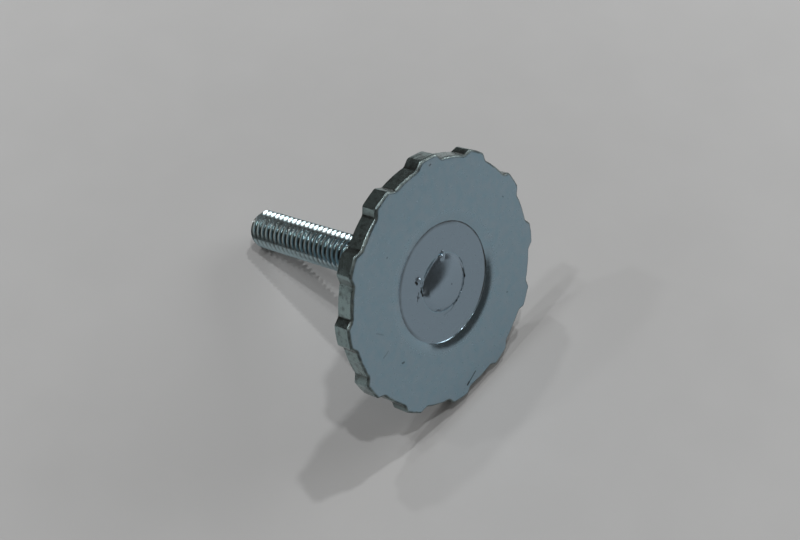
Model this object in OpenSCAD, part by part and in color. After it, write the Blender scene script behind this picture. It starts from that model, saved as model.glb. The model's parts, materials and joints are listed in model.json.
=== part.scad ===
// Adjusting screw: a stamped toothed wheel riveted on the end of a threaded stud.
// It lies as it comes to rest, on two teeth of the wheel and the far end of the stud.

/* [Wheel] */
// Diameter over the tips of the teeth
wheel_d = 38; // [32:0.5:44]
// Thickness of the steel plate
wheel_t = 2.75; // [2.5:0.25:4]
// Radius of the edge that the punch rolled over, round the front
roll_r = 0.4; // [0.2:0.05:0.5]

/* [Teeth] */
// Number of teeth round the rim
tooth_count = 12; // [8:1:16]
// Height of a tooth above the rim
tooth_h = 0.85; // [0.7:0.05:1.1]
// Width of a tooth at its tip, between the sharp corners
tooth_tip_w = 3; // [2.6:0.1:3.4]
// Width of a tooth at its base, between the sharp corners
tooth_base_w = 4.8; // [4.6:0.1:5.2]

/* [Recess] */
// Diameter of the recess pressed in the middle of the front
recess_d = 17.8; // [15:0.2:20]
// Depth of the recess, and height of the boss that it raises on the back
recess_depth = 0.5; // [0.45:0.05:0.9]
// Width of the lip that the press drew in round the recess
lip_w = 1.4; // [1:0.1:1.8]
// Depth to which the lip bends in before it steps down to the floor
lip_drop = 0.3; // [0.2:0.02:0.4]

/* [Stud] */
// Thread diameter of the stud
stud_d = 6; // [5:0.5:8]
// Reach of the stud behind the plate
stud_len = 37; // [30:1:60]
// Chamfer on the free end of the stud
end_chamfer = 0.7; // [0.4:0.1:1]

/* [Rivet] */
// Width of the shoulder that seats on the boss
shoulder_w = 0.6; // [0.4:0.1:1]
// Diameter of the riveted head
head_d = 8.6; // [8:0.2:11]
// Height of the head's crown above the floor of the recess
head_h = 0.7; // [0.4:0.05:1]

/* [Hidden] */
$fn = 96;
// Overshoot of a cutting shape past the face that it cuts
cut_over = 0.3;
zinc_plate = [0.60, 0.66, 0.69];
zinc_thread = [0.52, 0.60, 0.63];

// Round sizes as radii
tip_r = wheel_d / 2;
root_r = tip_r - tooth_h;
recess_r = recess_d / 2;
stud_r = stud_d / 2;
bore_r = stud_r - shoulder_w;
head_r = head_d / 2;

// Levels along the axis of the screw, from the back of the plate
floor_z = wheel_t - recess_depth;
seat_z = -recess_depth;

// Radius of the arc that leaves the front face level and ends at the step
lip_r = (lip_w ^ 2 + lip_drop ^ 2) / (2 * lip_drop);
// Radius of the ball that the riveted crown is a cap of
crown_r = (head_r ^ 2 + head_h ^ 2) / (2 * head_h);

// Upper flank of the tooth that points along +X, from its base to its tip
pitch_angle = 360 / tooth_count;
flank_base = [sqrt(root_r ^ 2 - (tooth_base_w / 2) ^ 2), tooth_base_w / 2];
flank_tip = [sqrt(tip_r ^ 2 - (tooth_tip_w / 2) ^ 2), tooth_tip_w / 2];
flank_angle = atan2(flank_base.y - flank_tip.y, flank_tip.x - flank_base.x);
// Angle from the middle of a tooth to the corner of its tip
corner_angle = asin(tooth_tip_w / 2 / tip_r);
// Depth to which a tooth is rooted in the rim, past the rim's own roll
tooth_root = 2 * roll_r;

// Rest on the floor: two teeth beside a gap, and the stud's edge behind its chamfer
contact_r = tip_r * cos(pitch_angle / 2 - corner_angle);
rest_tilt = atan2(contact_r - stud_r, stud_len - end_chamfer);
rest_high_x = (contact_r - roll_r) * sin(rest_tilt) + (wheel_t - roll_r) * cos(rest_tilt) + roll_r;
rest_low_x = -(stud_r - end_chamfer) * sin(rest_tilt) - stud_len * cos(rest_tilt);
rest_place = [-(rest_high_x + rest_low_x) / 2, 0, contact_r * cos(rest_tilt)];

// Lays the screw down: its axis leans up from the floor towards +X
module at_rest() {
    translate(rest_place)
        rotate([0, 90 - rest_tilt, 0])
            children();
}

// Section of the plate at an edge on x = 0: square at the back, rolled over at the front
module edge_section(depth) {
    difference() {
        translate([-depth, 0])
            square([depth, wheel_t]);
        translate([-roll_r, wheel_t - roll_r])
            difference() {
                square(roll_r + cut_over);
                circle(roll_r);
            }
    }
}

// The metal on the inner side of a tooth's upper flank, as far as the tooth goes
module flank_side() {
    reach = tooth_base_w + tooth_h + tooth_root;
    translate(flank_base)
        rotate([90, 0, 90 - flank_angle])
            translate([0, 0, -2 * tooth_root])
                linear_extrude(reach + 2 * tooth_root)
                    edge_section(reach);
}

// One tooth on +X: the rim's tip ring between its two flanks
module tooth() {
    intersection() {
        rotate(-pitch_angle / 2)
            rotate_extrude(angle = pitch_angle)
                translate([tip_r, 0])
                    edge_section(tooth_h + tooth_root);
        flank_side();
        mirror([0, 1, 0])
            flank_side();
    }
}

// Section of the pressed recess: the lip bends in, then steps down to the floor
module recess_section() {
    translate([0, floor_z])
        square([recess_r, recess_depth + cut_over]);
    difference() {
        translate([0, floor_z])
            square([recess_r + lip_w, recess_depth + cut_over]);
        translate([recess_r + lip_w, wheel_t - lip_r])
            circle(lip_r);
    }
}

// Section of the plate from its bore to its rim, pressed down round the bore
module plate_section() {
    difference() {
        union() {
            translate([root_r, 0])
                edge_section(root_r - bore_r);
            translate([bore_r, seat_z])
                square([recess_r - bore_r, wheel_t]);
        }
        recess_section();
    }
}

// Stamped toothed wheel, with a gap between two teeth towards the floor
module wheel() {
    color(zinc_plate)
        at_rest() {
            rotate_extrude()
                plate_section();
            for (i = [0 : tooth_count - 1])
                rotate((i + 0.5) * pitch_angle)
                    tooth();
        }
}

// Section of the crown that the riveting formed
module crown_section() {
    intersection() {
        translate([0, floor_z])
            square([head_r, head_h]);
        translate([0, floor_z + head_h - crown_r])
            circle(crown_r);
    }
}

// Threaded stud with its shoulder on the boss and its end riveted over in the recess
module stud() {
    color(zinc_thread)
        at_rest()
            rotate_extrude() {
                polygon([
                    [0, -stud_len],
                    [stud_r - end_chamfer, -stud_len],
                    [stud_r, end_chamfer - stud_len],
                    [stud_r, seat_z],
                    [bore_r, seat_z],
                    [bore_r, floor_z],
                    [0, floor_z]
                ]);
                crown_section();
            }
}

wheel();
stud();
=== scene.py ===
import json
import math

import bmesh
import bpy
import numpy as np
from mathutils import Matrix, Vector, noise


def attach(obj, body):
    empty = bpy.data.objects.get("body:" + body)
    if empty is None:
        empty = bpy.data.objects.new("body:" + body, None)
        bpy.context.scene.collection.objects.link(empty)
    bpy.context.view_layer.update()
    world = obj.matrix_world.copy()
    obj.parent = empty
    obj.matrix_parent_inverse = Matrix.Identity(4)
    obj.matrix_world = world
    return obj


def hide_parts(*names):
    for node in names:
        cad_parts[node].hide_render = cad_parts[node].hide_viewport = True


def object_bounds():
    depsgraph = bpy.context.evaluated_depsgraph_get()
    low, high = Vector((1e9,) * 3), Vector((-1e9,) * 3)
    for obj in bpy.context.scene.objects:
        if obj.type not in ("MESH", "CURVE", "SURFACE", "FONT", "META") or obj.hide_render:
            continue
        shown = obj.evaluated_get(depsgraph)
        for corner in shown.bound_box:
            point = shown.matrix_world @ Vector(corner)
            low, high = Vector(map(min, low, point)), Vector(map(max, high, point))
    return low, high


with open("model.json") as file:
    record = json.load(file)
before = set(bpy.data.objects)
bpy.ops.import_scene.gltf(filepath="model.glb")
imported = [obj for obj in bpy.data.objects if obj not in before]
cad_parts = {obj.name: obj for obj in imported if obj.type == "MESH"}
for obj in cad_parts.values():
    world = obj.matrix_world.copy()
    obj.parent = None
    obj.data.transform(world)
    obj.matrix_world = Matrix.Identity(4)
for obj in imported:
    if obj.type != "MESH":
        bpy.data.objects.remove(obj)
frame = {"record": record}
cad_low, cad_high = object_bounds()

# Units: shapes are drawn in millimetres on the screw's own axis, and made in metres
MM = 0.001

# Wheel, as in the solids
WHEEL_R = 19.0
ROOT_R = 18.15
WHEEL_T = 2.75
ROLL_R = 0.4
TOOTH_COUNT = 12
TOOTH_TIP_W = 3.0
TOOTH_BASE_W = 4.8

# Pressed recess: a lip that bends in, then a sheared step down to the floor
RECESS_R = 8.9
RECESS_DEPTH = 0.5
LIP_W = 1.85
LIP_DROP = 0.42
LIP_BEND_W = 1.4
STEP_LEAN = 0.02
STEP_RIPPLE = 0.012
STEP_RIPPLE_SIZE = 0.4
FLOOR_CORNER_R = 0.06

# Stud and riveted head
STUD_R = 3.0
STUD_LEN = 37.0
END_CHAMFER = 0.7
BORE_R = 2.4
HEAD_R = 4.3
HEAD_UNDERCUT = 0.05

# Rolled thread of the stud
PITCH = 1.0
THREAD_DEPTH = 0.61
CREST_SHARE = 0.13
ROOT_SHARE = 0.28
CREST_ROUND = 0.06
ROOT_ROUND = 0.05

# Stamping: rounded corners of the teeth, soft edges at the back, torn metal on the wall
CORNER_R = 0.6
FILLET_R = 0.8
BACK_EDGE_R = 0.12
BOSS_EDGE_R = 0.35
TEAR_DEPTH = 0.05
TEAR_SIZE = 0.35
TEAR_TOP = 0.55
TEAR_FADE = 0.15
EDGE_WANDER = 0.09
EDGE_WANDER_SIZE = 0.6

# Levels along the axis, from the back of the plate
FLOOR_Z = WHEEL_T - RECESS_DEPTH
SEAT_Z = -RECESS_DEPTH
ROLL_Z = WHEEL_T - ROLL_R

# Painted shade beside the teeth: height above the rim where it ends, and lean of the outline where it is full
FILLET_SHADE_H = 0.45
FILLET_SHADE_LEAN = 0.3

# Painted shade in the recess: the sides where it lies on the step and in the floor's corner, and how it thins
# out
STEP_SHADE_TURN = math.radians(110)
STEP_SHADE_W = 0.15
CORNER_SHADE_TURN = math.radians(-140)
CORNER_START = 0.12
CORNER_SHADE_W = 0.6
CORNER_SHADE_SLOPE = 1.5
CORNER_SHADE = 0.6
SIDE_SHADE_SLOPE = 2.5

# Painted shade in the thread: it grows with the depth of the groove, and stops at a rim round the stud's end
# faces
THREAD_SHADE_SLOPE = 2.4
THREAD_SHADE_START = 0.6
END_INSIDE = 0.93

# Points on each stretch of half a tooth
TIP_POINTS = 5
CORNER_POINTS = 6
FILLET_POINTS = 7
ROOT_POINTS = 9

# Rings on each stretch of the wheel's section
BACK_EDGE_RINGS = 4
WALL_RINGS = 16
ROLL_RINGS = 8
FACE_RINGS = 10
LIP_RINGS = 20
STEP_RINGS = 5
CORNER_RINGS = 5
BOSS_EDGE_RINGS = 6

# Rings on the wheel's flat faces: radii of the round ones, and shares of the way in from the teeth to those
FACE_R = 16.8
FRONT_SHARES = (0.15, 0.4, 0.7)
BACK_SHARES = (0.6, 0.3)
FLOOR_RADII = (*np.linspace(RECESS_R - 1, HEAD_R + 1.2, 6), *np.linspace(HEAD_R + 1.1, HEAD_R + 0.16, 12))
BOSS_RADII = (STUD_R + 0.5, RECESS_R - 2, RECESS_R - BOSS_EDGE_R)
BACK_RADII = np.linspace(RECESS_R + 0.5, FACE_R, 6)

# Fineness of the riveted head
HEAD_COLUMNS = 200
HEAD_RINGS = 48

# Fineness of the thread, and turns beyond its ends that are cut off: in all, and below the low end
THREAD_COLUMNS = 96
THREAD_STEPS = 14
SPARE_TURNS = 3
LEAD_TURNS = 2
CUT_TOLERANCE = MM / 1000

# Angles past which an edge stays sharp
WHEEL_SHARP = math.radians(32)
HEAD_SHARP = math.radians(40)
SHANK_SHARP = math.radians(50)

# Photograph's view
LENS = 64.575
SENSOR_W = 36.0
CAMERA_PLACE = (87.249, -98.625, 178.104)
CAMERA_TARGET = (9.147, -2.948, 19.374)
CLIP_START = 10.0


# Frame of the screw: its axis and the centre of the plate's back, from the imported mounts
def screw_frame():
    mounts = {mount["name"]: mount for mount in frame["record"]["mounts"]}
    on_axis = Vector(mounts["stud_thread"]["pos_m"])
    on_front = Vector(mounts["front_face"]["pos_m"])
    axis = Vector(mounts["front_face"]["axis"]).normalized()
    front = on_axis + axis * (on_front - on_axis).dot(axis)
    side = Vector((0, 1, 0))
    place = Matrix((side.cross(axis), side, axis)).transposed().to_4x4()
    place.translation = front - axis * WHEEL_T * MM
    return place


PLACE = screw_frame()


# Arc of points with the normals that point away from its centre
def arc(centre, radius, start, end, count):
    angles = np.linspace(start, end, count)
    normals = np.stack([np.cos(angles), np.sin(angles)], 1)
    return np.array(centre) + radius * normals, normals


# Angles over a quarter of a circle, for a rounded edge
def quarter(count):
    return np.linspace(0, math.pi / 2, count)


# Outline of half a tooth, from the middle of its tip to the middle of the gap, with outward normals
def half_tooth():
    base = np.array([math.sqrt(ROOT_R**2 - (TOOTH_BASE_W / 2) ** 2), TOOTH_BASE_W / 2])
    tip = np.array([math.sqrt(WHEEL_R**2 - (TOOTH_TIP_W / 2) ** 2), TOOTH_TIP_W / 2])
    along = (tip - base) / np.linalg.norm(tip - base)
    out = np.array([-along[1], along[0]])

    def rolling_centre(offset, reach):
        start = base + offset * out
        back = start @ along
        return start + (math.sqrt(back**2 - start @ start + reach**2) - back) * along

    corner = rolling_centre(-CORNER_R, WHEEL_R - CORNER_R)
    fillet = rolling_centre(FILLET_R, ROOT_R + FILLET_R)
    corner_turn = math.atan2(corner[1], corner[0])
    fillet_turn = math.atan2(fillet[1], fillet[0])
    flank_turn = math.atan2(out[1], out[0])
    tip_arc = arc((0, 0), WHEEL_R, 0, corner_turn, TIP_POINTS)
    corner_arc = arc(corner, CORNER_R, corner_turn, flank_turn, CORNER_POINTS)
    fillet_arc = arc(fillet, FILLET_R, flank_turn + math.pi, fillet_turn + math.pi, FILLET_POINTS)
    root_arc = arc((0, 0), ROOT_R, fillet_turn, math.pi / TOOTH_COUNT, ROOT_POINTS)
    points = np.concatenate([tip_arc[0], corner_arc[0][1:], fillet_arc[0], root_arc[0][1:]])
    normals = np.concatenate([tip_arc[1], corner_arc[1][1:], -fillet_arc[1], root_arc[1][1:]])
    return points, normals


def turned(points, angle):
    c, s = math.cos(angle), math.sin(angle)
    return points @ np.array([[c, s], [-s, c]])


# Whole toothed outline, with one gap towards the floor
def toothed_outline():
    points, normals = half_tooth()
    flip = np.array([1, -1])
    tooth = np.concatenate([(points * flip)[::-1], points[1:-1]])
    tooth_normals = np.concatenate([(normals * flip)[::-1], normals[1:-1]])
    turns = [(i + 0.5) * math.tau / TOOTH_COUNT for i in range(TOOTH_COUNT)]
    return (
        np.concatenate([turned(tooth, turn) for turn in turns]),
        np.concatenate([turned(tooth_normals, turn) for turn in turns]),
    )


OUTLINE, OUTLINE_NORMALS = toothed_outline()
OUTLINE_TURNS = np.arctan2(OUTLINE[:, 1], OUTLINE[:, 0])


def at_level(flat, level):
    return np.column_stack([flat, np.broadcast_to(level, len(flat))])


# Ring that follows the teeth, set in from the outline
def toothed_ring(inset, level):
    return at_level(OUTLINE - np.reshape(inset, (-1, 1)) * OUTLINE_NORMALS, level)


# Round ring, with a point at each of the given turns
def round_ring(radius, level, turns=OUTLINE_TURNS):
    circle = np.column_stack([np.cos(turns), np.sin(turns)])
    return at_level(circle * np.reshape(radius, (-1, 1)), level)


def between(ring, other, share):
    return ring * (1 - share) + other * share


# Smooth random field, from -1 to 1, over a ring's points
def wander(points, size):
    return np.array([noise.noise(Vector(p) / size) for p in points])


# Zones of a surface: sheared wall, its rolled edge, painted shade in corners and grooves, pressed and
# polished metal, recess tint
ZONES = ("wall", "edge", "dirt", "press", "shade")


# Rings of a piece, with the share of each zone at their points
class Rings:
    def __init__(self):
        self.rings = []
        self.zones = {label: [] for label in ZONES}

    def add(self, ring, **values):
        self.rings.append(ring)
        for label, column in self.zones.items():
            column.append(np.broadcast_to(values.get(label, 0.0), len(ring)))


# Skin over rings of equal counts: the last joins the first, or both ends are closed
def skin(name, rows, looped):
    rings = rows.rings
    count = len(rings[0])
    points = np.concatenate(rings)
    faces = []
    for i in range(len(rings) if looped else len(rings) - 1):
        a, b = i * count, (i + 1) % len(rings) * count
        for j in range(count):
            k = (j + 1) % count
            faces.append((a + j, a + k, b + k, b + j))
    if not looped:
        faces.append(tuple(range(count))[::-1])
        faces.append(tuple(range(len(points) - count, len(points))))
    mesh = bpy.data.meshes.new(name)
    mesh.from_pydata((points * MM).tolist(), [], faces)
    for label, column in rows.zones.items():
        layer = mesh.attributes.new(label, "FLOAT", "POINT")
        layer.data.foreach_set("value", np.concatenate(column).astype(np.float32))
    return mesh


# Lays a mesh at its place, smooth up to an angle, and notes each point's place on the axis for the materials
def add_piece(mesh, material, replaced, sharp_angle):
    bm = bmesh.new()
    bm.from_mesh(mesh)
    bmesh.ops.recalc_face_normals(bm, faces=bm.faces)
    bm.to_mesh(mesh)
    bm.free()
    own = np.empty(len(mesh.vertices) * 3, np.float32)
    mesh.vertices.foreach_get("co", own)
    mesh.attributes.new("place", "FLOAT_VECTOR", "POINT").data.foreach_set("vector", own / MM)
    mesh.transform(PLACE)
    mesh.polygons.foreach_set("use_smooth", [True] * len(mesh.polygons))
    mesh.set_sharp_from_angle(angle=sharp_angle)
    mesh.materials.append(material)
    piece = bpy.data.objects.new(mesh.name, mesh)
    bpy.context.scene.collection.objects.link(piece)
    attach(piece, "root")
    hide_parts(replaced)


# Painted shade in the hollow beside each tooth: strongest where the outline turns inwards
def fillet_shade():
    turn = np.arctan2(OUTLINE_NORMALS[:, 1], OUTLINE_NORMALS[:, 0]) - OUTLINE_TURNS
    lean = np.abs((turn + math.pi) % math.tau - math.pi)
    away = np.hypot(OUTLINE[:, 0], OUTLINE[:, 1])
    low = np.clip((ROOT_R + FILLET_SHADE_H - away) / FILLET_SHADE_H, 0, 1)
    return low * np.clip(lean / FILLET_SHADE_LEAN, 0, 1)


# Sheared wall of the rim: torn at the back, burnished towards the front, rolled over at the edge
def add_wall(rows):
    # Painted shade in the hollows beside the teeth, fading out over the rolled edge
    dirt = fillet_shade()
    for turn in quarter(BACK_EDGE_RINGS)[:-1]:
        inset, level = BACK_EDGE_R * (1 - math.sin(turn)), BACK_EDGE_R * (1 - math.cos(turn))
        rows.add(toothed_ring(inset, level), wall=1.0, dirt=dirt)
    for share in np.linspace(0, 1, WALL_RINGS):
        level = BACK_EDGE_R + (ROLL_Z - BACK_EDGE_R) * share
        ring = toothed_ring(0, level)
        torn = TEAR_DEPTH * np.clip((TEAR_TOP - share) / TEAR_FADE, 0, 1)
        rows.add(toothed_ring(torn * np.abs(wander(ring, TEAR_SIZE)), level), wall=1.0, dirt=dirt)
    drift = EDGE_WANDER * wander(toothed_ring(0, WHEEL_T), EDGE_WANDER_SIZE)
    for turn in quarter(ROLL_RINGS)[1:]:
        share = turn / (math.pi / 2)
        inset = ROLL_R * (1 - math.cos(turn)) + drift * math.sin(turn) ** 2
        level = ROLL_Z + ROLL_R * math.sin(turn)
        rolled = math.sin(math.pi * share)
        rows.add(toothed_ring(inset, level), wall=1 - share, edge=rolled, dirt=dirt * (1 - share))


# Front face, from the rolled edge to the lip of the recess
def add_front(rows):
    edge = toothed_ring(ROLL_R, WHEEL_T)
    for share in FRONT_SHARES:
        rows.add(between(edge, round_ring(FACE_R, WHEEL_T), share))
    for radius in np.linspace(FACE_R, RECESS_R + LIP_W, FACE_RINGS):
        rows.add(round_ring(radius, WHEEL_T))


# Drop of the lip at a distance in from its outer edge: a bend, then straight down to the step
def lip_drop(inward):
    slope = LIP_DROP / (LIP_W - LIP_BEND_W / 2)
    bent = min(inward, LIP_BEND_W)
    return slope * (bent**2 / (2 * LIP_BEND_W) + inward - bent)


# Share of painted shade round the recess: full towards a turn, none on the far side of it
def side_shade(turn):
    return np.clip(SIDE_SHADE_SLOPE * np.cos(OUTLINE_TURNS - turn), 0, 1)


# Lip of the recess and the sheared step below it
def add_lip(rows):
    for inward in np.linspace(0, LIP_W, LIP_RINGS)[1:]:
        radius = RECESS_R + LIP_W - inward
        rows.add(round_ring(radius, WHEEL_T - lip_drop(inward)), press=min(inward / LIP_BEND_W, 1))
    ripple = STEP_RIPPLE * wander(round_ring(RECESS_R, 0), STEP_RIPPLE_SIZE)
    # Painted shade on the step, on one side of the recess only
    for turn in quarter(STEP_RINGS):
        radius = RECESS_R - STEP_LEAN - FLOOR_CORNER_R * (1 - math.cos(turn)) + ripple
        level = FLOOR_Z + FLOOR_CORNER_R * (1 - math.sin(turn))
        rows.add(round_ring(radius, level), press=1.0, dirt=side_shade(STEP_SHADE_TURN))


# Floor of the recess, from its corner with painted shade to the crevice round the head, which painted shade
# darkens
def add_floor(rows):
    # Painted shade in the floor's corner on one side, and a thin painted dark line at the step's foot on
    # another
    for away in np.linspace(CORNER_START, CORNER_SHADE_W, CORNER_RINGS):
        shade_share = min(CORNER_SHADE_SLOPE * (1 - away / CORNER_SHADE_W), 1) * side_shade(CORNER_SHADE_TURN)
        line = side_shade(STEP_SHADE_TURN) * (away < STEP_SHADE_W)
        rows.add(round_ring(RECESS_R - away, FLOOR_Z), dirt=np.maximum(CORNER_SHADE * shade_share, line), shade=1.0)
    for radius in FLOOR_RADII:
        ring = round_ring(radius, FLOOR_Z)
        ring[:, 2] += relief(ring)
        rows.add(ring, shade=1.0)
    # The crevice round the head is sunk, and painted shade darkens it as deep as it goes
    crevice = crevice_depth(OUTLINE_TURNS)
    for reach in CREVICE_EDGES:
        rows.add(round_ring(HEAD_R + reach, FLOOR_Z - crevice), dirt=crevice / CREVICE_DEPTH)
    rows.add(round_ring(BORE_R, FLOOR_Z - crevice))


# Bore, boss and back face
def add_back(rows):
    for radius in (BORE_R, *BOSS_RADII):
        rows.add(round_ring(radius, SEAT_Z))
    for turn in quarter(BOSS_EDGE_RINGS)[1:]:
        radius = RECESS_R - BOSS_EDGE_R * (1 - math.sin(turn))
        rows.add(round_ring(radius, SEAT_Z + BOSS_EDGE_R * (1 - math.cos(turn))))
    for radius in (RECESS_R, *BACK_RADII):
        rows.add(round_ring(radius, 0))
    for share in BACK_SHARES:
        rows.add(between(toothed_ring(BACK_EDGE_R, 0), round_ring(FACE_R, 0), share))


def make_wheel(material):
    rows = Rings()
    add_wall(rows)
    add_front(rows)
    add_lip(rows)
    add_floor(rows)
    add_back(rows)
    add_piece(skin("toothed_wheel", rows, True), material, "wheel", WHEEL_SHARP)


# Marks that the riveting left on the head and round it: x, y, reach and height of each bump or dent
RIVET_MARKS = (
    (-3.45, -3.80, 0.30, 0.34),
    (-2.75, -3.70, 0.28, 0.14),
    (-1.55, -4.05, 0.24, -0.14),
    (-1.35, -5.00, 0.22, -0.10),
    (-3.80, 1.25, 0.34, 0.30),
    (-4.20, 1.75, 0.18, 0.14),
    (2.95, -2.65, 0.30, -0.10),
    (3.60, -2.20, 0.26, 0.07),
    (0.77, 0.81, 0.12, -0.04),
    (0.08, -0.74, 0.12, -0.02),
)


def relief(points):
    height = np.zeros(len(points))
    for x, y, reach, rise in RIVET_MARKS:
        away = np.hypot(points[:, 0] - x, points[:, 1] - y)
        height += rise * np.exp(-((away / reach) ** 2))
    return height


# Crevice round the head, open on one side of it and closed on the rest, with its edges from the head's radius
CREVICE_DEPTH = 0.2
CREVICE_EDGES = (0.08, -0.06)
CREVICE_TURN = math.radians(55)
CREVICE_REACH = math.radians(60)
CREVICE_SLOPE = 3
CREVICE_MEAN = 0.5
CREVICE_RIPPLE = 0.9
CREVICE_RIPPLE_SIZE = 0.7


def crevice_depth(turns):
    away = np.abs((turns - CREVICE_TURN + math.pi) % math.tau - math.pi)
    opening = np.clip((CREVICE_REACH - away) / CREVICE_REACH * CREVICE_SLOPE, 0, 1)
    ripple = wander(round_ring(HEAD_R, 0, turns), CREVICE_RIPPLE_SIZE)
    return CREVICE_DEPTH * opening * np.clip(CREVICE_MEAN + CREVICE_RIPPLE * ripple, 0, 1)


# Crown of the head, hammered askew: a twisted facet slopes off beside a leaning top, inside a round edge
FACET_TURN = math.radians(-158)
FACET_SLOPE = 0.23
FACET_TWIST = 0.14
FACET_REACH = 3.85
CROWN_TOP = 0.66
CROWN_LEAN = (0.03, -0.03)
CROWN_BOW = 0.02
CROWN_SOFT = 0.1
CROWN_EDGE = 1.0
CROWN_POLISH = 0.8


def crown_rise(points):
    x, y = points[:, 0], points[:, 1]
    away = np.hypot(x, y)
    ahead = x * math.cos(FACET_TURN) + y * math.sin(FACET_TURN)
    aside = y * math.cos(FACET_TURN) - x * math.sin(FACET_TURN)
    facet = FACET_SLOPE * (1 + FACET_TWIST * aside) * (FACET_REACH - ahead)
    top = CROWN_TOP + CROWN_LEAN[0] * x + CROWN_LEAN[1] * y - CROWN_BOW * away**2
    rise = -CROWN_SOFT * np.log(np.exp(-facet / CROWN_SOFT) + np.exp(-top / CROWN_SOFT))
    over = np.clip((away - HEAD_R + CROWN_EDGE) / CROWN_EDGE, 0, 1)
    return np.maximum(rise, 0) * (1 - over**2)


# Neck and riveted head, its edge in the crevice
def make_head(material):
    turns = np.linspace(0, math.tau, HEAD_COLUMNS, endpoint=False)
    crevice = crevice_depth(turns)
    rows = Rings()
    rows.add(round_ring(BORE_R, SEAT_Z, turns))
    rows.add(round_ring(BORE_R, FLOOR_Z - crevice, turns))
    # Painted shade in the crevice under the head's edge
    rows.add(round_ring(HEAD_R - HEAD_UNDERCUT, FLOOR_Z - crevice, turns), dirt=crevice / CREVICE_DEPTH)
    for share in np.linspace(1, 0, HEAD_RINGS)[:-1]:
        ring = round_ring(HEAD_R * share, FLOOR_Z, turns)
        ring[:, 2] += crown_rise(ring) + relief(ring)
        rows.add(ring, press=CROWN_POLISH, shade=1.0)
    add_piece(skin("riveted_head", rows, False), material, "stud", HEAD_SHARP)


# Radius of the rolled thread at a share of its pitch: round crest, straight flanks, round root
def thread_radius(share):
    away = abs(share - 0.5) * 2
    flank = min(max((away - CREST_SHARE) / (1 - CREST_SHARE - ROOT_SHARE), 0), 1)
    crest = CREST_ROUND * math.cos(min(away / CREST_SHARE, 1) * math.pi / 2)
    root = ROOT_ROUND * math.cos(min((1 - away) / ROOT_SHARE, 1) * math.pi / 2)
    return STUD_R - CREST_ROUND - (THREAD_DEPTH - CREST_ROUND - ROOT_ROUND) * flank + crest - root


# Points of the helical strip, chamfered at its low end, and the painted shade that darkens its groove
def thread_points(rows, low):
    points, shade_share = [], []
    for i in range(rows):
        radius = thread_radius(i % THREAD_STEPS / THREAD_STEPS)
        for j in range(THREAD_COLUMNS):
            turn = math.tau * j / THREAD_COLUMNS
            level = low + (i / THREAD_STEPS - LEAD_TURNS + j / THREAD_COLUMNS) * PITCH
            kept = min(radius, STUD_R - END_CHAMFER + max(level - low, 0))
            depth = (STUD_R - kept) / THREAD_DEPTH
            points.append((kept * math.cos(turn), kept * math.sin(turn), level))
            # Painted shade, the more the deeper in the groove
            shade_share.append(min(max(depth * THREAD_SHADE_SLOPE - THREAD_SHADE_START, 0), 1))
    return points, shade_share


# Faces of the helical strip: the end of each row joins the start of the row one turn on
def thread_faces(rows):
    faces = []
    for i in range(rows - 1):
        for j in range(THREAD_COLUMNS):
            here = i * THREAD_COLUMNS + j
            beside = here + 1
            if j == THREAD_COLUMNS - 1:
                beside = (i + THREAD_STEPS) * THREAD_COLUMNS
            if beside + THREAD_COLUMNS < rows * THREAD_COLUMNS:
                faces.append((here, beside, beside + THREAD_COLUMNS, here + THREAD_COLUMNS))
    return faces


def on_cut(edge, level):
    return edge.is_boundary and all(abs(vert.co.z - level) < CUT_TOLERANCE for vert in edge.verts)


# Closes a tube's open end: a narrow rim, and a fan inside it that takes no painted shade
def close_end(bm, level):
    middle = bm.verts.new((0, 0, level))
    inner = {}
    for edge in [e for e in bm.edges if on_cut(e, level)]:
        for vert in edge.verts:
            if vert not in inner:
                inner[vert] = bm.verts.new((vert.co.x * END_INSIDE, vert.co.y * END_INSIDE, level))
        first, second = edge.verts
        bm.faces.new((first, second, inner[second], inner[first]))
        bm.faces.new((inner[first], inner[second], middle))


# Cuts a tube off square at two levels, and closes it there
def cut_ends(mesh, low, high):
    bm = bmesh.new()
    bm.from_mesh(mesh)
    for level, side in ((low, -1), (high, 1)):
        geometry = bm.verts[:] + bm.edges[:] + bm.faces[:]
        plane = {"plane_co": (0, 0, level), "plane_no": (0, 0, side)}
        bmesh.ops.bisect_plane(bm, geom=geometry, clear_outer=True, **plane)
        close_end(bm, level)
    bm.to_mesh(mesh)
    bm.free()


# Threaded shank: one helical strip, cut off at its end and at the shoulder
def make_shank(material):
    low, high = -STUD_LEN, SEAT_Z
    rows = (math.ceil((high - low) / PITCH) + SPARE_TURNS) * THREAD_STEPS
    points, shade_share = thread_points(rows, low)
    mesh = bpy.data.meshes.new("threaded_shank")
    mesh.from_pydata((np.array(points) * MM).tolist(), [], thread_faces(rows))
    # Painted shade in the thread's grooves
    mesh.attributes.new("dirt", "FLOAT", "POINT").data.foreach_set("value", shade_share)
    cut_ends(mesh, low * MM, high * MM)
    add_piece(mesh, material, "stud", SHANK_SHARP)


# Node helpers
def add_node(tree, kind, inputs=(), **settings):
    made = tree.nodes.new(kind)
    for label, value in settings.items():
        setattr(made, label, value)
    for key, value in dict(inputs).items():
        if isinstance(value, bpy.types.NodeSocket):
            tree.links.new(value, made.inputs[key])
        else:
            made.inputs[key].default_value = value
    return made


def new_material(name):
    material = bpy.data.materials.new(name)
    material.use_nodes = True
    return material, material.node_tree, material.node_tree.nodes["Principled BSDF"]


# Noise whose blobs are about a size, in the units of the vector
def noise_of(tree, vector, size, detail=3.0):
    inputs = {"Vector": vector, "Scale": 1 / size, "Detail": detail}
    return add_node(tree, "ShaderNodeTexNoise", inputs).outputs["Fac"]


def remap(tree, value, from_low, from_high, low=0, high=1):
    inputs = {"Value": value, "From Min": from_low, "From Max": from_high, "To Min": low, "To Max": high}
    return add_node(tree, "ShaderNodeMapRange", inputs).outputs["Result"]


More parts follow.
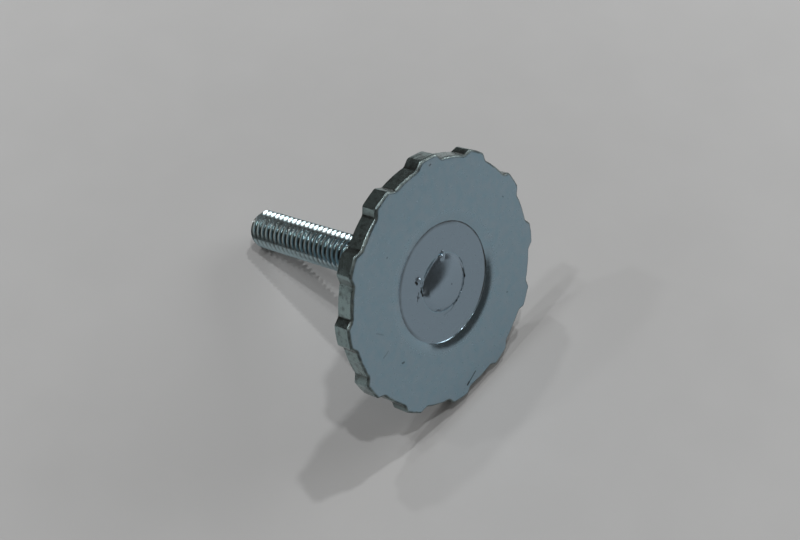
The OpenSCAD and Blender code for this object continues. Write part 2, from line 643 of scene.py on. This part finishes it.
def math_of(tree, operation, first, second):
    return add_node(tree, "ShaderNodeMath", {0: first, 1: second}, operation=operation).outputs[0]


def vector_math(tree, operation, *inputs, output="Vector"):
    return add_node(tree, "ShaderNodeVectorMath", enumerate(inputs), operation=operation).outputs[output]


# Mix of two colours: each is a socket or three numbers
def mix_of(tree, share, first, second):
    made = add_node(tree, "ShaderNodeMix", data_type="RGBA")
    tree.links.new(share, made.inputs["Factor"])
    sides = [s for s in made.inputs if s.type == "RGBA"]
    for side, value in zip(sides, (first, second)):
        if isinstance(value, bpy.types.NodeSocket):
            tree.links.new(value, side)
        else:
            side.default_value = (*value, 1)
    return next(s for s in made.outputs if s.type == "RGBA")


def zone(tree, label, output="Fac"):
    return add_node(tree, "ShaderNodeAttribute", attribute_name=label).outputs[output]


# Specks, scratches and cracks on the front, and strokes of painted shade on the riveted head and round it:
# two ends, half width and strength of each
MARKS_AND_SHADE_STROKES = (
    ((17.25, -3.0), (16.45, -0.7), 0.13, 0.8),
    ((17.2, -2.9), (17.05, -2.5), 0.22, 0.9),
    ((4.85, -12.0), (4.95, -11.7), 0.2, 0.6),
    ((-17.3, 4.5), (-17.3, 4.75), 0.16, 0.6),
    ((-10.7, -7.75), (-10.75, -7.65), 0.13, 0.5),
    ((1.7, -14.5), (1.4, -13.4), 0.14, 0.25),
    ((-2.4, -14.0), (-1.4, -13.1), 0.14, 0.2),
    ((9.8, 9.9), (9.9, 10.1), 0.12, 0.5),
    ((-4.2, 15.1), (-4.0, 15.2), 0.12, 0.5),
    ((-3.6, -4.45), (-3.2, -4.35), 0.24, 1.0),
    ((-2.2, -3.95), (-0.9, -4.25), 0.14, 0.95),
    ((-1.9, -4.6), (-0.85, -5.4), 0.1, 0.75),
    ((0.7, 3.95), (2.0, 3.95), 0.26, 0.95),
    ((-0.3, 3.96), (0.75, 3.85), 0.08, 0.7),
    ((2.05, 3.4), (3.1, 2.8), 0.11, 0.8),
    ((3.1, 2.8), (3.75, 1.9), 0.08, 0.7),
    ((3.75, 1.9), (4.35, 1.0), 0.09, 0.7),
    ((4.35, 1.0), (4.75, -0.5), 0.1, 0.4),
    ((4.75, -0.5), (4.5, -1.95), 0.1, 0.25),
    ((2.8, -2.9), (3.2, -2.4), 0.12, 0.6),
    ((0.75, 0.78), (0.79, 0.84), 0.14, 0.6),
)
# Share of a stroke's half width at full strength, and heights over which strokes fade out towards the back
STROKE_CORE = 0.5
STROKE_LEVELS = (0.5, 1.5)
MARK_AND_SHADE_COLOUR = (0.03, 0.03, 0.03)


# Share of a mark or of painted shade at each point: strong along a stroke, none away from all
def mark_and_shade_share(tree, place):
    share = None
    flat = vector_math(tree, "MULTIPLY", place, (1, 1, 0))
    for start, end, half_width, strength in MARKS_AND_SHADE_STROKES:
        first = Vector((*start, 0))
        along = Vector((*end, 0)) - first
        reach = vector_math(tree, "SUBTRACT", flat, first)
        ahead = vector_math(tree, "DOT_PRODUCT", reach, along / along.length_squared, output="Value")
        foot = vector_math(tree, "MULTIPLY", remap(tree, ahead, 0, 1), along)
        away = vector_math(tree, "DISTANCE", reach, foot, output="Value")
        near = remap(tree, away, half_width * STROKE_CORE, half_width, strength, 0.0)
        share = near if share is None else math_of(tree, "MAXIMUM", share, near)
    level = add_node(tree, "ShaderNodeSeparateXYZ", {"Vector": place}).outputs["Z"]
    return math_of(tree, "MULTIPLY", share, remap(tree, level, *STROKE_LEVELS))


# Plating of the two pieces: two tints, a span of roughness, and the size and depth of the satin grain
PLATE_TINTS = ((0.29, 0.425, 0.505), (0.335, 0.44, 0.51))
PLATE_ROUGHNESS = (0.27, 0.33)
PLATE_GRAIN = (0.5, 0.0006)
THREAD_TINTS = ((0.44, 0.58, 0.62), (0.50, 0.62, 0.65))
THREAD_ROUGHNESS = (0.13, 0.19)
THREAD_GRAIN = (0.25, 0.001)
# Streaks: the grain is drawn out along the axis
STREAK = (1, 1, 0.12)
GRAIN_DETAIL = 2
# Colours of the zones, each pair with the span of noise over which one passes into the other
MOTTLE_SIZE = 1.4
MOTTLE_DETAIL = 4
MOTTLE_SPAN = (0.3, 0.7)
RECESS_TINT = (0.31, 0.40, 0.475)
WALL_TINTS = ((0.15, 0.175, 0.175), (0.30, 0.395, 0.395))
WALL_SPAN = (0.27, 0.52)
WALL_MOTTLE_SIZE = 0.6
WALL_MOTTLE_DETAIL = 5
EDGE_TINTS = ((0.07, 0.085, 0.085), (0.21, 0.255, 0.25))
EDGE_SPAN = (0.4, 0.62)
# Painted shade in corners, crevices and thread grooves: its colour, and the mottle over which its share goes
# from half to full
PAINTED_SHADE_COLOUR = (0.06, 0.057, 0.052)
PAINTED_SHADE_SPAN = (0.3, 0.6)
PAINTED_SHADE_SHARES = (0.5, 1.0)
# Roughness in patches: smoother where the metal is pressed or sheared, rougher along the rolled edge
PATCH_SIZE = 0.45
PATCH_SPAN = (0.3, 0.7)
PRESS_POLISH = 0.13
WALL_POLISH = 0.06
EDGE_ROUGHNESS = (0.05, 0.4)
EDGE_WEAR_SPAN = (0.35, 0.6)


# Colour of the plating: two tints that mottle, then each zone's own colour, then painted shade, then marks
# and strokes of painted shade
def zinc_colour(tree, place, tints, marks_and_shade):
    mottle = noise_of(tree, place, MOTTLE_SIZE, MOTTLE_DETAIL)
    colour = mix_of(tree, remap(tree, mottle, *MOTTLE_SPAN), *tints)
    colour = mix_of(tree, zone(tree, "shade"), colour, RECESS_TINT)
    tears = noise_of(tree, place, WALL_MOTTLE_SIZE, WALL_MOTTLE_DETAIL)
    torn = mix_of(tree, remap(tree, tears, *WALL_SPAN), *WALL_TINTS)
    colour = mix_of(tree, zone(tree, "wall"), colour, torn)
    rubbed = mix_of(tree, remap(tree, mottle, *EDGE_SPAN), *EDGE_TINTS)
    colour = mix_of(tree, zone(tree, "edge"), colour, rubbed)
    # Painted shade in the corners, crevices and grooves
    shaded = math_of(tree, "MULTIPLY", zone(tree, "dirt"), remap(tree, mottle, *PAINTED_SHADE_SPAN, *PAINTED_SHADE_SHARES))
    colour = mix_of(tree, shaded, colour, PAINTED_SHADE_COLOUR)
    # Marks, and strokes of painted shade on the head and round it
    if marks_and_shade:
        colour = mix_of(tree, mark_and_shade_share(tree, place), colour, MARK_AND_SHADE_COLOUR)
    return colour


# Roughness of the plating: patches, polished in some zones and worn along the rolled edge
def zinc_roughness(tree, place, span):
    patches = noise_of(tree, place, PATCH_SIZE)
    rough = remap(tree, patches, *PATCH_SPAN, *span)
    for label, polish in (("press", PRESS_POLISH), ("wall", WALL_POLISH)):
        rough = math_of(tree, "SUBTRACT", rough, math_of(tree, "MULTIPLY", zone(tree, label), polish))
    worn = remap(tree, patches, *EDGE_WEAR_SPAN, *EDGE_ROUGHNESS)
    return math_of(tree, "ADD", rough, math_of(tree, "MULTIPLY", zone(tree, "edge"), worn))


# Blue zinc plating on steel, with a satin grain
def zinc(name, tints, roughness, grain, marks_and_shade=False):
    material, tree, shader = new_material(name)
    place = zone(tree, "place", "Vector")
    grain_size, grain_depth = grain
    fine = noise_of(tree, vector_math(tree, "MULTIPLY", place, STREAK), grain_size, GRAIN_DETAIL)
    bump = add_node(tree, "ShaderNodeBump", {"Height": fine, "Distance": grain_depth * MM})
    tree.links.new(zinc_colour(tree, place, tints, marks_and_shade), shader.inputs["Base Color"])
    tree.links.new(zinc_roughness(tree, place, roughness), shader.inputs["Roughness"])
    tree.links.new(bump.outputs["Normal"], shader.inputs["Normal"])
    shader.inputs["Metallic"].default_value = 1.0
    return material


# Floor: pale clouded paper, with painted light that makes it a little paler away from the screw
FLOOR_SIZE = 10000.0
FLOOR_COLOUR = (0.383, 0.387, 0.388)
FLOOR_PAINTED_LIGHT_COLOUR = (0.462, 0.467, 0.469)
FLOOR_PAINTED_LIGHT_FADE = (40.0, 130.0)
FLOOR_ROUGHNESS = 0.9
CLOUD_SIZE = 12.0
CLOUD_DETAIL = 4
CLOUD_SPAN = (0.3, 0.7)
CLOUD_SHARE = 0.08


def floor_paper():
    material, tree, shader = new_material("floor_paper")
    place = add_node(tree, "ShaderNodeTexCoord").outputs["Object"]
    away = vector_math(tree, "LENGTH", place, output="Value")
    # Painted light: darker round the screw, paler further out
    painted_light = remap(tree, away, FLOOR_PAINTED_LIGHT_FADE[0] * MM, FLOOR_PAINTED_LIGHT_FADE[1] * MM)
    clouds = noise_of(tree, place, CLOUD_SIZE * MM, CLOUD_DETAIL)
    share = math_of(tree, "ADD", painted_light, remap(tree, clouds, *CLOUD_SPAN, -CLOUD_SHARE, CLOUD_SHARE))
    colour = mix_of(tree, share, FLOOR_COLOUR, FLOOR_PAINTED_LIGHT_COLOUR)
    tree.links.new(colour, shader.inputs["Base Color"])
    shader.inputs["Roughness"].default_value = FLOOR_ROUGHNESS
    return material


def make_floor():
    half = FLOOR_SIZE / 2 * MM
    mesh = bpy.data.meshes.new("floor")
    corners = [(-half, -half, 0), (half, -half, 0), (half, half, 0), (-half, half, 0)]
    mesh.from_pydata(corners, [], [(0, 1, 2, 3)])
    mesh.materials.append(floor_paper())
    floor = bpy.data.objects.new("floor", mesh)
    bpy.context.scene.collection.objects.link(floor)


# Room: dark, and paler towards the ceiling over a span of heights in the sky, from 0 to 1 overhead
ROOM_GLOW = 0.072
ROOM_COLOUR = (1.0, 0.93, 0.88, 1)
CEILING_GLOW = 0.12
CEILING_HEIGHT = (0.55, 0.9)
# Broad soft light on the camera's side: azimuth from +X, elevation, and angles at which it is full and gone
FRONT_GLOW = 0.26
FRONT_TURN = math.radians(-30)
FRONT_RISE = math.radians(46)
FRONT_REACH = (math.radians(20), math.radians(36))


def towards(azimuth, elevation):
    flat = math.cos(elevation)
    return Vector((flat * math.cos(azimuth), flat * math.sin(azimuth), math.sin(elevation)))


def make_world():
    world = bpy.data.worlds.new("studio")
    world.use_nodes = True
    tree = world.node_tree
    direction = add_node(tree, "ShaderNodeTexCoord").outputs["Generated"]
    height = add_node(tree, "ShaderNodeSeparateXYZ", {"Vector": direction}).outputs["Z"]
    glow = remap(tree, height, *CEILING_HEIGHT, ROOM_GLOW, CEILING_GLOW)
    near = vector_math(tree, "DOT_PRODUCT", direction, towards(FRONT_TURN, FRONT_RISE), output="Value")
    front = remap(tree, near, math.cos(FRONT_REACH[1]), math.cos(FRONT_REACH[0]), 0, FRONT_GLOW)
    tree.links.new(math_of(tree, "ADD", glow, front), tree.nodes["Background"].inputs["Strength"])
    tree.nodes["Background"].inputs["Color"].default_value = ROOM_COLOUR
    bpy.context.scene.world = world


# Lamps, each with its azimuth from +X and elevation in degrees, width, height and share of the floor's light
LAMP_DISTANCE = 1000.0
LAMPS = (
    ("window", 70, 25, 800, 330, 0.14),
    ("behind", 106, 62, 40, 40, 0.20),
    ("behind_left", 164, 56, 40, 40, 0.09),
    ("left", -136, 64, 40, 40, 0.10),
    ("left_far", -148, 62, 40, 40, 0.06),
    ("left_back", -164, 66, 40, 40, 0.04),
    ("left_low", -141, 46, 40, 40, 0.045),
    ("overhead", 5, 83, 48, 48, 0.20),
)


# A lamp's power follows from its share of the light on the floor
def make_lamps():
    centre = (cad_low + cad_high) / 2
    for name, azimuth, elevation, width, height, share in LAMPS:
        away = towards(math.radians(azimuth), math.radians(elevation))
        data = bpy.data.lights.new(name, "AREA")
        data.shape = "ELLIPSE"
        data.size = width * MM
        data.size_y = height * MM
        data.energy = share * (math.pi * LAMP_DISTANCE * MM) ** 2 / away.z
        lamp = bpy.data.objects.new(name, data)
        lamp.location = centre + away * LAMP_DISTANCE * MM
        lamp.rotation_euler = away.to_track_quat("Z", "Y").to_euler()
        bpy.context.scene.collection.objects.link(lamp)


def make_camera():
    data = bpy.data.cameras.new("camera")
    data.lens = LENS
    data.sensor_width = SENSOR_W
    data.clip_start = CLIP_START * MM
    camera = bpy.data.objects.new("camera", data)
    place, target = Vector(CAMERA_PLACE) * MM, Vector(CAMERA_TARGET) * MM
    camera.location = place
    camera.rotation_euler = (target - place).to_track_quat("-Z", "Y").to_euler()
    bpy.context.scene.collection.objects.link(camera)
    bpy.context.scene.camera = camera


bpy.context.scene.view_settings.view_transform = "Standard"
make_camera()
make_floor()
make_world()
make_lamps()
plate_zinc = zinc("plate_zinc", PLATE_TINTS, PLATE_ROUGHNESS, PLATE_GRAIN, marks_and_shade=True)
thread_zinc = zinc("thread_zinc", THREAD_TINTS, THREAD_ROUGHNESS, THREAD_GRAIN)
make_wheel(plate_zinc)
make_shank(thread_zinc)
make_head(plate_zinc)
